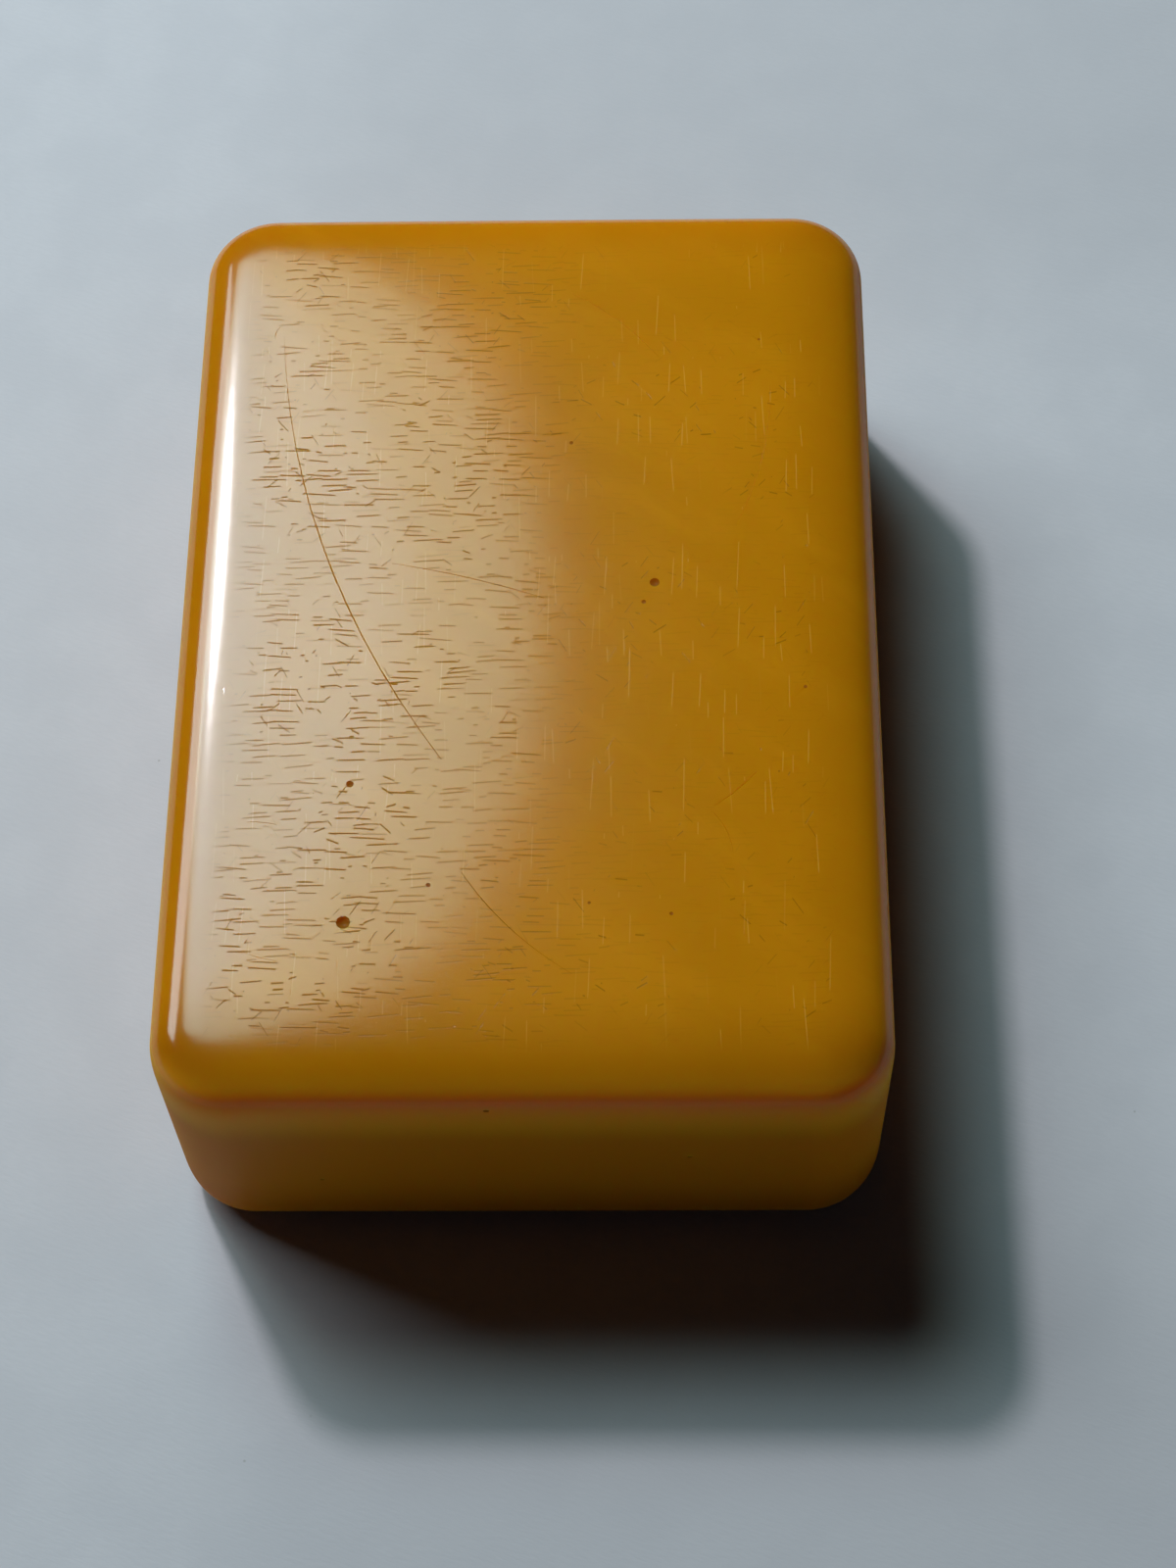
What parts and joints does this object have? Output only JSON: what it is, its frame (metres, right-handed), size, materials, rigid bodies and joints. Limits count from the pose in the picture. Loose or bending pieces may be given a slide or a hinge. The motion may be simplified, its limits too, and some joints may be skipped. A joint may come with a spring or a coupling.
{
  "type": "game tile",
  "caption": "Thick rounded amber game tile with a plain polished back and a face engraved with round pips filled with enamel.",
  "frame": {"origin": "middle of the engraved face, at the level that the tile rests on", "axes": "+Z from the engraved face up to the plain back, +Y along the tile's length, +X across its width"},
  "size_m": [0.0204, 0.03, 0.0095],
  "materials": {
    "cast_phenolic": "butterscotch amber cast phenolic, polished edges, back worn to a soft satin with fine scratches",
    "enamel_green": "dark green gloss enamel, brushed into the engraving",
    "enamel_blue": "dark blue gloss enamel, brushed into the engraving",
    "enamel_red": "red gloss enamel, brushed into the engraving"
  },
  "bodies": {
    "root": {"tile_body": "cast_phenolic", "pip_front_left_rim_paint": "enamel_blue", "pip_front_left_dimple_paint": "enamel_blue", "pip_front_left_ring_paint": "enamel_red", "pip_front_left_eye_paint": "enamel_red", "pip_front_right_rim_paint": "enamel_green", "pip_front_right_dimple_paint": "enamel_green", "pip_front_right_ring_paint": "enamel_red", "pip_front_right_eye_paint": "enamel_red", "pip_centre_rim_paint": "enamel_red", "pip_centre_dimple_paint": "enamel_red", "pip_centre_ring_paint": "enamel_green", "pip_centre_eye_paint": "enamel_green", "pip_back_left_rim_paint": "enamel_green", "pip_back_left_dimple_paint": "enamel_green", "pip_back_left_ring_paint": "enamel_red", "pip_back_left_eye_paint": "enamel_red", "pip_back_right_rim_paint": "enamel_blue", "pip_back_right_dimple_paint": "enamel_blue", "pip_back_right_ring_paint": "enamel_red", "pip_back_right_eye_paint": "enamel_red"}
  },
  "joints": []
}
